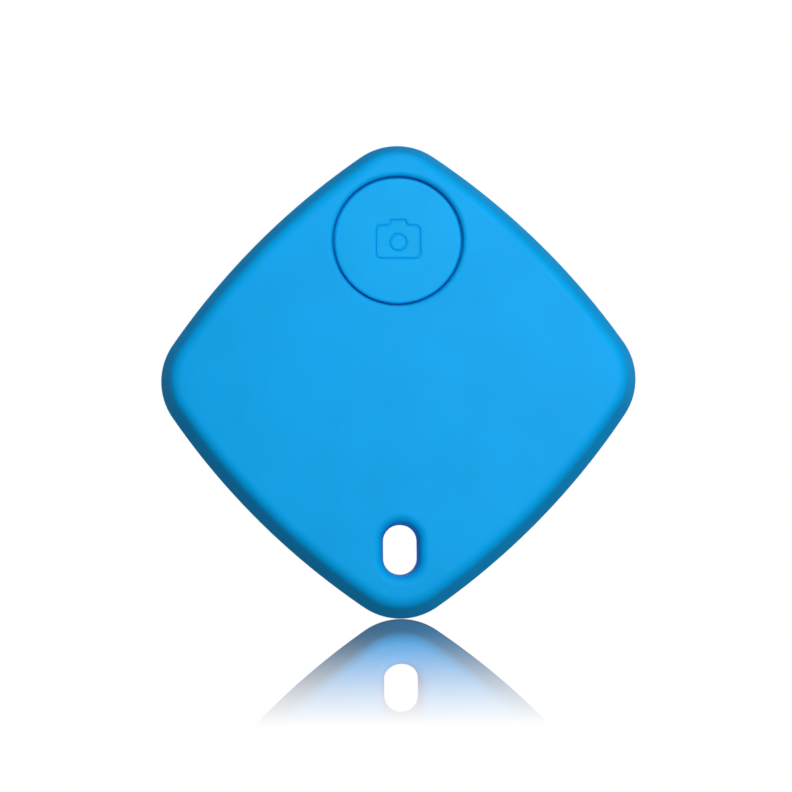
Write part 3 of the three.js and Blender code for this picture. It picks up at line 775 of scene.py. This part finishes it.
def board_outline():
    """The case's outline drawn in, and cut straight across above the lanyard slot."""
    inset, bottom = 1.7, extent("circuit_board")[0].z
    drawn = [(point - out * inset, out) for point, out in CASE_EDGE]
    lowest = min(range(len(drawn)), key=lambda i: drawn[i][0].y)
    kept = [(p, out) for p, out in drawn[lowest:] + drawn[:lowest] if p.y > bottom + 0.1]
    down = Vector((0, -1))
    return kept + [(Vector((kept[end][0].x, bottom)), down) for end in (-1, 0)]


def circuit_board():
    skin = Skin()
    front, hole_radius, bevel, land = extent("circuit_board")[0].y, 0.85, 0.05, 0.55
    skin.paint = 1
    face, back = skin.wall(board_outline(), rounded([
        (-0.2, front), (0, front, bevel), (0, BOARD, bevel), (-0.2, BOARD)]))
    fronts, backs = [face], [back]
    for screw in SCREWS:
        hole = spokes(*middle(screw), 40)
        start, end = skin.wall(hole, rounded([
            (hole_radius + 0.1, front), (hole_radius, front, bevel),
            (hole_radius, BOARD, bevel), (hole_radius + 0.1, BOARD)]))
        skin.paint = 2
        _, end = skin.wall(hole, [(hole_radius + land, BOARD)], after=end)
        skin.paint = 1
        fronts.append(start)
        backs.append(end)
    skin.paint = 0
    skin.sheet(*fronts)
    skin.sheet(*backs)
    skin.build([GREEN, LAMINATE, TIN], "circuit_board")


def ribbon(skin, points, width, thick):
    """A flat strip on the board along a run of points, square to it at each end."""
    low, high = BOARD - thick, BOARD + thick
    loops = []
    for i, point in enumerate(points):
        ahead = (points[min(i + 1, len(points) - 1)] - points[max(i - 1, 0)]).normalized()
        side = Vector((-ahead.y, ahead.x)) * width / 2
        section = [(side, low), (side * 0.8, high), (side * -0.8, high), (-side, low)]
        loops.append([(point.x + out.x, depth, point.y + out.y) for out, depth in section])
    skin.loft(loops)


def route(start, end):
    """Straight from the start, then on a slant to the end, as tracks are laid."""
    away = end - start
    slant = min(abs(away.x), abs(away.y))
    corner = end - Vector((math.copysign(slant, away.x), math.copysign(slant, away.y)))
    return [start, corner, end]


def tracks():
    """Copper under the solder mask: signal tracks, wider supply tracks and a ring round the cell."""
    thick, thin, wide = 0.035, 0.2, 0.5
    signal = [
        ("main_crystal", 1.8, 0.3), ("clock_crystal", -1.8, -0.6), ("radio_capacitor_left", -1.8, 1.2),
        ("radio_capacitor_right", 1.8, 1.4), ("supply_capacitor_left", -1.5, -2.6),
        ("supply_capacitor_right", 1.5, -2.6), ("crystal_capacitor_upper", 2.6, 1.0),
        ("crystal_capacitor_lower", 2.6, -1.2), ("switch_resistor", -2.6, 0.6),
        ("antenna_capacitor", 0, 2.6), ("antenna_inductor", -1.0, 2.6), ("boost_diode", -2.4, -2.0),
    ]
    supply = [
        ("boost_inductor", "boost_diode"), ("boost_inductor", "buzzer_driver"),
        ("buzzer_driver", "driver_resistor_left"), ("buzzer_driver", "driver_resistor_right"),
        ("antenna_capacitor", "chip_antenna"), ("switch_resistor", "clock_crystal"),
        ("filter_capacitor", "positive_contact"), ("reserve_capacitor", "positive_contact"),
    ]
    skin = Skin()
    chip = Vector(middle("bluetooth_chip"))
    for node, across, up in signal:
        ribbon(skin, route(Vector(middle(node)), chip + Vector((across, up))), thin, thick)
    for one, other in supply:
        ribbon(skin, route(Vector(middle(one)), Vector(middle(other))), wide, thick)
    radius, gap, ring_top, steps = 12.6, 0.35, 9.6, 96
    angles = [gap + (2 * math.pi - 2 * gap) * i / steps for i in range(steps + 1)]
    ring = [Vector(round_the_cell(radius, angle)) for angle in angles]
    ribbon(skin, [point for point in ring if point.y < ring_top], wide, thick)
    skin.build([TRACK], name="board_tracks")


def vias():
    """Plated holes through the board, round the cell and beside the radio, and six test pads."""
    outer, inner, proud, sunk = 0.32, 0.14, 0.04, 0.02
    ring_radius, ring_count, ring_low, ring_high, clear_half = 13.6, 36, -13, 8, 5
    row_x, row_z, row_pitch, row_count = 4.6, 19.4, 0.9, 4
    pad_radius, pad_flat, pad_x, pad_z, pad_across, pad_up = 0.55, 0.3, 9.0, -11.6, 1.6, 1.1
    top, under = BOARD + proud, BOARD - sunk
    places = []
    for i in range(ring_count):
        x, z = round_the_cell(ring_radius, 2 * math.pi * (i + 0.5) / ring_count)
        if ring_low < z < ring_high and abs(x) > clear_half:
            places.append((x, z))
    for side in (-1, 1):
        places += [(side * (row_x + row_pitch * k), row_z - row_pitch * k) for k in range(row_count)]
    skin = Skin()
    for x, z in places:
        skin.hoop(x, z, 20, [(outer, under), (outer, top, 0.03), (inner, top, 0.03), (inner, under)])
    for side in (-1, 1):
        for k in range(3):
            skin.capped(spokes(side * (pad_x + pad_across * k), pad_z + pad_up * k, 32), rounded([
                (pad_flat, top), (pad_radius, top, 0.02), (pad_radius, under), (pad_flat, under)]))
    skin.build([TIN], name="board_vias")


def along_length(node):
    """Half a node's length, half its width, its top, and a turn that lays a place along its length."""
    low, high = extent(node)
    half_x, half_z = (high.x - low.x) / 2, (high.z - low.z) / 2
    x, z = middle(node)

    def laid(u, depth, v):
        return (x + u, depth, z + v) if half_x >= half_z else (x + v, depth, z + u)

    return max(half_x, half_z), min(half_x, half_z), high.y, laid


def fillet_of_solder(skin, laid, end, side, half_width, height):
    """The concave slope of solder from the board up one end of a part."""
    reach, under, tail, steps = 0.3, 0.05, 0.01, 5
    loops = []
    for across, shrink in ((-1, 0.6), (-0.8, 1), (0.8, 1), (1, 0.6)):
        line = [(end - under, BOARD - tail)]
        for i in range(steps + 1):
            angle = QUARTER * i / steps
            rise = height * shrink * (1 - math.cos(angle))
            line.append((end + reach * shrink * (1 - math.sin(angle)), BOARD + rise + tail))
        line.append((end - under, BOARD + height * shrink))
        loops.append([laid(side * out, depth, across * half_width) for out, depth in line])
    skin.loft(loops)


def two_terminal(node, body, terminal=0.24, stripe=False):
    """A chip part: a fired body between two tinned ends, soldered down."""
    half_length, half_width, top, laid = along_length(node)
    shy, corner, edge = 0.03, 0.06, 0.05
    cap = 2 * half_length * terminal
    side_of_body, top_of_body = half_width - shy, top - shy
    skin = Skin()
    skin.block(laid(-half_length + 0.1, BOARD + 0.02, -side_of_body),
               laid(half_length - 0.1, top_of_body, side_of_body), corner, edge)
    if stripe:
        skin.paint = 2
        skin.block(laid(-half_length + cap + 0.15, top - 0.1, -side_of_body),
                   laid(-half_length + cap + 0.55, top_of_body + 0.012, side_of_body), corner, 0.01)
    skin.paint = 1
    for side in (-1, 1):
        skin.block(laid(side * (half_length - cap), BOARD, -half_width),
                   laid(side * half_length, top, half_width), corner, edge)
        fillet_of_solder(skin, laid, half_length, side, half_width, (top - BOARD) * 0.6)
    skin.build([body, TIN, WHITE], node)


def leg(skin, x, start, end, half_width, low, mid):
    """A gull-wing leg: out of the package, down, and out along the board."""
    side = math.copysign(1, end - start)
    run, thick = abs(end - start), 0.13
    line = [(0, mid), (run * 0.35, mid), (run * 0.55, low + thick), (run, low + thick)]
    under = [(run, low), (run * 0.45, low), (run * 0.25, mid - thick), (0, mid - thick)]
    loop = [(start + side * out, depth) for out, depth in line + under]
    skin.loft([[(x + across, depth, z) for z, depth in loop] for across in (-half_width, half_width)])


def legged_package(node, legs):
    """A small moulded package whose legs, (across, side), come out of its long sides."""
    low, high = extent(node)
    x, z = middle(node)
    half_height = (high.z - low.z) / 2
    half_body = half_height - 0.32
    skin = Skin()
    skin.block((low.x, BOARD + 0.06, z - half_body), (high.x, high.y, z + half_body), 0.12, 0.1)
    skin.paint = 1
    for across, side in legs:
        leg(skin, x + across, z + side * (half_body - 0.05), z + side * half_height, 0.2,
            BOARD, (BOARD + high.y) / 2)
    skin.build([EPOXY, TIN], node)


def diode(node):
    """A two-legged moulded package with a pale band at its cathode."""
    half_length, half_width, top, laid = along_length(node)
    body, leg_half, leg_thick, band_half = half_length - 0.4, 0.3, 0.16, half_width - 0.1
    skin = Skin()
    skin.block(laid(-body, BOARD + 0.06, -half_width), laid(body, top, half_width), 0.1, 0.1)
    skin.paint = 1
    for side in (-1, 1):
        skin.block(laid(side * (body - 0.1), BOARD, -leg_half),
                   laid(side * half_length, BOARD + leg_thick, leg_half), 0.05, 0.05)
    skin.paint = 2
    skin.block(laid(-body + 0.2, top - 0.05, -band_half),
               laid(-body + 0.45, top + 0.004, band_half), 0.03, 0.004)
    skin.build([EPOXY, TIN, WHITE], node)


def radio_chip():
    """A flat no-lead package: a dimple at its first pin, and a row of pads along each side."""
    low, high = extent("bluetooth_chip")
    x, z = middle("bluetooth_chip")
    half, corner, bevel, under, top = (high.x - low.x) / 2, 0.12, 0.06, BOARD + 0.01, high.y
    dimple, dimple_place, dimple_floor = 0.3, half - 0.8, top - 0.07
    skin = Skin()
    rim, face = skin.wall(rectangle(x, z, half, half, corner), rounded([
        (-0.1, under), (0, under, 0.02), (0, top, bevel), (-bevel - 0.05, top)]))
    first, last = skin.turned(x - dimple_place, z + dimple_place, 32, [
        (dimple + 0.05, top), (dimple, top, 0.02), (dimple - 0.05, dimple_floor, 0.03),
        (dimple / 2, dimple_floor)])
    skin.sheet(rim)
    skin.sheet(face, first)
    skin.sheet(last)
    skin.paint = 1
    pads, pitch, pad_half, pad_top, pad_corner, pad_edge = 10, 0.5, 0.13, BOARD + 0.08, 0.04, 0.03
    for k in range(pads):
        along = (k - (pads - 1) / 2) * pitch
        start, end = along - pad_half, along + pad_half
        for side in (-1, 1):
            inner, outer = side * (half - 0.1), side * (half + 0.25)
            skin.block((x + inner, BOARD, z + start), (x + outer, pad_top, z + end), pad_corner, pad_edge)
            skin.block((x + start, BOARD, z + inner), (x + end, pad_top, z + outer), pad_corner, pad_edge)
    skin.build([EPOXY, TIN], "bluetooth_chip")


def crystal(node):
    """A ceramic tray with a flanged metal lid welded on it."""
    half_length, half_width, top, laid = along_length(node)
    tray, flange, inset = BOARD + 0.22, 0.12, 0.06
    layers = [  # material, how far in from the edges, front, rear, corner and edge rounding
        (1, 0, BOARD, tray, 0.15, 0.03),
        (0, inset, tray, tray + 0.06, 0.2, 0.02),
        (0, inset + flange, tray + 0.05, top, 0.25, 0.12),
    ]
    skin = Skin()
    for paint, shy, front, rear, corner, edge in layers:
        skin.paint = paint
        skin.block(laid(shy - half_length, front, shy - half_width),
                   laid(half_length - shy, rear, half_width - shy), corner, edge)
    skin.build([CRYSTAL, WHITE], node)


def shielded_inductor():
    low, high = extent("boost_inductor")
    x, z = middle("boost_inductor")
    half, bevel, under, top = (high.x - low.x) / 2, 0.08, BOARD + 0.02, high.y
    well, core, well_floor, pad_half = 1.22, 0.98, top - 0.22, 0.9
    skin = Skin()
    rim, face = skin.wall(rectangle(x, z, half, half, 0.5, 6), rounded([
        (-0.4, under), (0, under, 0.03), (0, top, bevel), (-bevel - 0.05, top)]))
    start, end = skin.turned(x, z, 64, [
        (well + 0.1, top), (well, top, 0.05), (well, well_floor, 0.03), (core, well_floor, 0.03),
        (core, top, 0.05), (core - 0.1, top)])
    skin.sheet(rim)
    skin.sheet(face, start)
    skin.sheet(end)
    skin.paint = 1
    for side in (-1, 1):
        skin.block((x + side * (half - 0.4), BOARD, z - pad_half),
                   (x + side * (half + 0.02), BOARD + 0.35, z + pad_half), 0.04, 0.03)
    skin.build([FERRITE, TIN], "boost_inductor")


def plus(x, z, reach, half_width, corner):
    """A plus-shaped outline with rounded corners."""
    out, near, hollow = reach - corner, half_width - corner, half_width + corner
    turns = [(out, -near, -QUARTER, 0), (out, near, 0, QUARTER), (hollow, hollow, -QUARTER, -2 * QUARTER)]
    arcs = []
    for quarter in range(4):
        facing = quarter * QUARTER
        for u, v, first, last in turns:
            place = turned_by(Vector((u, v)), facing)
            arcs.append((x + place.x, z + place.y, corner, first + facing, last + facing, 4))
    return outline(*arcs)


def board_screw(node):
    """A pan-headed screw with a cross recess and a rolled thread."""
    x, z = middle(node)
    low, high = extent(node)
    head, shank, top, tip = (high.x - low.x) / 2, 0.7, high.y, low.y
    recess, slot_half, recess_floor = 0.7, 0.15, top - 0.3
    pitch, bite, plain_tip = 0.3, 0.08, tip + 0.3
    threads = []
    depth = BOARD - 0.2
    while depth - pitch > plain_tip:
        threads += [(shank, depth), (shank - bite, depth - pitch / 2)]
        depth -= pitch
    skin = Skin()
    face, end = skin.turned(x, z, 48, [
        (head - 0.3, top), (head, top, 0.2), (head, BOARD, 0.05), (shank, BOARD, 0.05),
        *threads, (shank, plain_tip), (0.4, tip, 0.05), (0.2, tip)])
    start, bottom = skin.wall(plus(x, z, recess, slot_half, 0.04), [
        (0.03, top), (0, top - 0.03), (-0.01, recess_floor + 0.03), (-0.03, recess_floor)])
    skin.sheet(face, start)
    skin.sheet(bottom)
    skin.sheet(end)
    skin.build([SCREW], node)


def round_the_cell(radius, angle):
    return CELL_X + radius * math.cos(angle), CELL_Z + radius * math.sin(angle)


def swept(skin, section, middle_angle, half_angle, steps):
    """Carries a section, which is a list of (radius, depth) for an angle, round the cell's axis."""
    loops = []
    for i in range(steps + 1):
        angle = middle_angle + half_angle * (2 * i / steps - 1)
        loop = []
        for radius, depth in section(angle):
            x, z = round_the_cell(radius, angle)
            loop.append((x, depth, z))
        loops.append(loop)
    skin.loft(loops)


def cell_holder():
    """A moulded ring round the cell with three hooks, open at its contact and low for a thumb."""
    inner, outer, bevel, gap_half = 10.25, 11.4, 0.12, 0.42
    rim, low_rim, thumb, thumb_half, ease = 5.6, 4.4, 4 * math.pi / 3, 0.3, 0.05
    hook_half, hook_top, hook_under, hook_reach = 0.14, extent("cell_holder")[1].y, 6.55, 9.7
    root, back, throat = rim - 0.3, outer - 0.2, inner + 0.05
    hook = [(back, root), (back, hook_top - 0.2), (back - 0.2, hook_top),
            (hook_reach + 0.25, hook_top), (hook_reach, hook_under + 0.15),
            (hook_reach + 0.05, hook_under), (throat, hook_under), (throat, root)]

    def ring(angle):
        top = low_rim + (rim - low_rim) * ramp(abs(angle - thumb), thumb_half - ease, thumb_half)
        return [(outer, BOARD), (outer, top - bevel), (outer - bevel, top), (inner + bevel, top),
                (inner, top - bevel), (inner, BOARD)]

    skin = Skin()
    swept(skin, ring, math.pi, math.pi - gap_half, 180)
    for facing in (math.pi / 3, math.pi, 5 * math.pi / 3):
        swept(skin, lambda angle: hook, facing, hook_half, 8)
    skin.build([BLACK], "cell_holder")


def positive_contact():
    """A sprung blade against the side of the cell, on a foot soldered to the board."""
    inner, sheet, lip, top = 10.04, 0.25, 0.1, extent("positive_contact")[1].y
    blade_half, foot_half, foot_end, foot_top = 0.28, 0.2, inner + 2.1, BOARD + sheet
    blade = [(inner, BOARD), (inner, top - lip), (inner + lip, top), (inner + sheet, top - 0.05),
             (inner + sheet, BOARD)]
    foot = [(inner + 0.1, BOARD), (inner + 0.1, foot_top), (foot_end - 0.05, foot_top),
            (foot_end, foot_top - 0.05), (foot_end, BOARD)]
    skin = Skin()
    swept(skin, lambda angle: blade, 0, blade_half, 16)
    swept(skin, lambda angle: foot, 0, foot_half, 12)
    skin.build([CONTACT], "positive_contact")


def cell_can():
    """The cell's steel can, rolled in over its gasket at the front, with a plus pressed in its back."""
    low, high = extent("cell_can")
    radius, sheet, lip, crimp = (high.x - low.x) / 2, 0.25, 9.3, low.y + 0.22
    step_radius, shoulder, inner_back, pressed = 8.4, high.y - 0.06, high.y - sheet, high.y - 0.08
    skin = Skin()
    back, inner = skin.turned(CELL_X, CELL_Z, 128, [
        (step_radius - 0.4, high.y), (step_radius, high.y, 0.04),
        (step_radius + 0.1, shoulder, 0.04), (radius, shoulder, 0.35), (radius, low.y, 0.2),
        (lip, low.y, 0.05), (lip, crimp, 0.05), (radius - sheet, crimp, 0.05),
        (radius - sheet, inner_back, 0.2), (step_radius, inner_back)])
    mark, mark_floor = skin.wall(plus(CELL_X, CELL_Z + 4.2, 1.5, 0.22, 0.08), [
        (0.05, high.y), (0.02, high.y - 0.02), (-0.02, pressed), (-0.06, pressed)])
    skin.sheet(back, mark)
    skin.sheet(mark_floor)
    skin.sheet(inner)
    skin.build([CELL], "cell_can")


def finish_hidden_parts():
    """Materials for the parts whose frame shapes are kept as they are."""
    finishes = {
        "switch_base": BLACK, "switch_frame": CONTACT, "switch_plunger": BLACK, "switch_dome": CONTACT,
        "piezo_adhesive_ring": TAPE, "piezo_plate": BRASS, "piezo_ceramic": SILVERED,
        "piezo_wire_red": WIRE_RED, "piezo_wire_black": WIRE_BLACK, "negative_contact": CONTACT,
        "cell_cap": CELL, "cell_gasket": NYLON, "cell_anode": LITHIUM, "cell_separator": PAPER,
        "cell_cathode": CATHODE,
    }
    for node, material in finishes.items():
        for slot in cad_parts[node].material_slots:
            slot.material = material


circuit_board()
tracks()
vias()
radio_chip()
crystal("main_crystal")
crystal("clock_crystal")
two_terminal("chip_antenna", WHITE)
legged_package("buzzer_driver", [(-0.95, 1), (0.95, 1), (-0.95, -1), (0, -1), (0.95, -1)])
diode("boost_diode")
shielded_inductor()
two_terminal("reserve_capacitor", TANTALUM, terminal=0.12, stripe=True)
for name in ("antenna_capacitor", "radio_capacitor_left", "radio_capacitor_right",
             "supply_capacitor_left", "supply_capacitor_right", "crystal_capacitor_upper",
             "crystal_capacitor_lower", "filter_capacitor"):
    two_terminal(name, TAN)
for name in ("switch_resistor", "driver_resistor_left", "driver_resistor_right"):
    two_terminal(name, DARK)
two_terminal("antenna_inductor", WHITE)
for name in SCREWS:
    board_screw(name)
cell_holder()
positive_contact()
cell_can()
finish_hidden_parts()


# ---- Stage ----

def lamp(name, place, size, power, highlights=True):
    """A square soft light at `place`, metres from the middle of the case, aimed at it."""
    data = bpy.data.lights.new(name, "AREA")
    data.shape = "SQUARE"
    data.size = size
    data.energy = power
    light = bpy.data.objects.new(name, data)
    light.location = at(0, 0, 0) + Vector(place)
    light.rotation_mode = "QUATERNION"
    light.rotation_quaternion = (-Vector(place)).to_track_quat("-Z", "Y")
    light.visible_camera = False
    light.visible_glossy = highlights
    bpy.context.scene.collection.objects.link(light)


def surroundings(ambient, sheen):
    """White all round to the eye and in the floor's mirror, and dimmer as a light on the tag."""
    world = bpy.data.worlds.new("studio")
    bpy.context.scene.world = world
    tree = Tree(world)
    backdrop = tree.nodes["Background"].inputs
    backdrop["Color"].default_value = (1, 1, 1, 1)
    glossy = tree.new("LightPath", {}, "Is Glossy Ray")
    strength = tree.new("MapRange", {"Value": glossy, "To Min": ambient, "To Max": sheen})
    for ray in ("Is Camera Ray", "Is Singular Ray"):
        strength = tree.maths("MAXIMUM", strength, tree.new("LightPath", {}, ray))
    tree.give(backdrop["Strength"], strength)


def floor():
    """A white floor that mirrors the tag where it stands, less and less further off."""
    gap, half_size, mirror_reach, mirror, falloff = 0.08, 1.5, 0.113, 0.96, 2.65
    place = (CASE.x, CASE.y, CAD_BOX[0].z - gap * MM)
    bpy.ops.mesh.primitive_plane_add(size=2 * half_size, location=place)
    plane = bpy.context.object
    plane.name = "floor"
    plane.visible_diffuse = False
    plane.visible_glossy = False
    plane.visible_shadow = False
    material = bpy.data.materials.new("floor_white")
    tree = Tree(material)
    tree.nodes.remove(tree.nodes["Principled BSDF"])
    away = tree.new("Mapping", {"Vector": tree.new("TexCoord", {}, "Object"),
                                "Scale": [1 / mirror_reach] * 3})
    far = tree.maths("POWER", tree.length(away), falloff)
    fade = tree.new("MapRange", {"Value": far, "To Min": mirror, "To Max": 0})
    gloss = tree.new("BsdfGlossy", {"Color": (1, 1, 1, 1), "Roughness": 0})
    mix = tree.new("MixShader", {0: fade, 1: tree.new("Emission", {}), 2: gloss})
    tree.give(tree.nodes["Material Output"].inputs["Surface"], mix)
    plane.data.materials.append(material)


def camera():
    """A short telephoto view from a little below the tag, hair's breadths to its left and askew."""
    distance, below, left, askew = 0.2, math.radians(5), math.radians(0.64), math.radians(0.5)
    data = bpy.data.cameras.new("camera")
    data.sensor_width = 36
    data.lens = 85.25
    data.shift_x = -0.0033
    data.shift_y = -0.0196
    data.clip_start = 0.02
    eye = bpy.data.objects.new("camera", data)
    flat = math.cos(below)
    towards = Vector((math.sin(left) * flat, math.cos(left) * flat, math.sin(below)))
    eye.location = at(0, THICKNESS / 2, 0) - towards * distance
    eye.rotation_mode = "QUATERNION"
    eye.rotation_quaternion = towards.to_track_quat("-Z", "Y") @ Quaternion((0, 0, 1), -askew)
    bpy.context.scene.collection.objects.link(eye)
    bpy.context.scene.camera = eye


surroundings(0.07, 0.1)
floor()
lamp("softbox", (0.036, -0.13, 0.036), 0.13, 0.198, highlights=False)
lamp("overhead", (0.02, -0.12, 0.21), 0.06, 0.085)
lamp("low", (0, -0.15, -0.15), 0.12, 0.078, highlights=False)
for side in (-1, 1):
    lamp("rear_side", (0.25 * side, 0.2, 0.02), 0.15, 0.27, highlights=False)
lamp("behind", (0, 0.35, 0.08), 0.3, 0.6, highlights=False)
camera()
bpy.context.scene.view_settings.view_transform = "Standard"
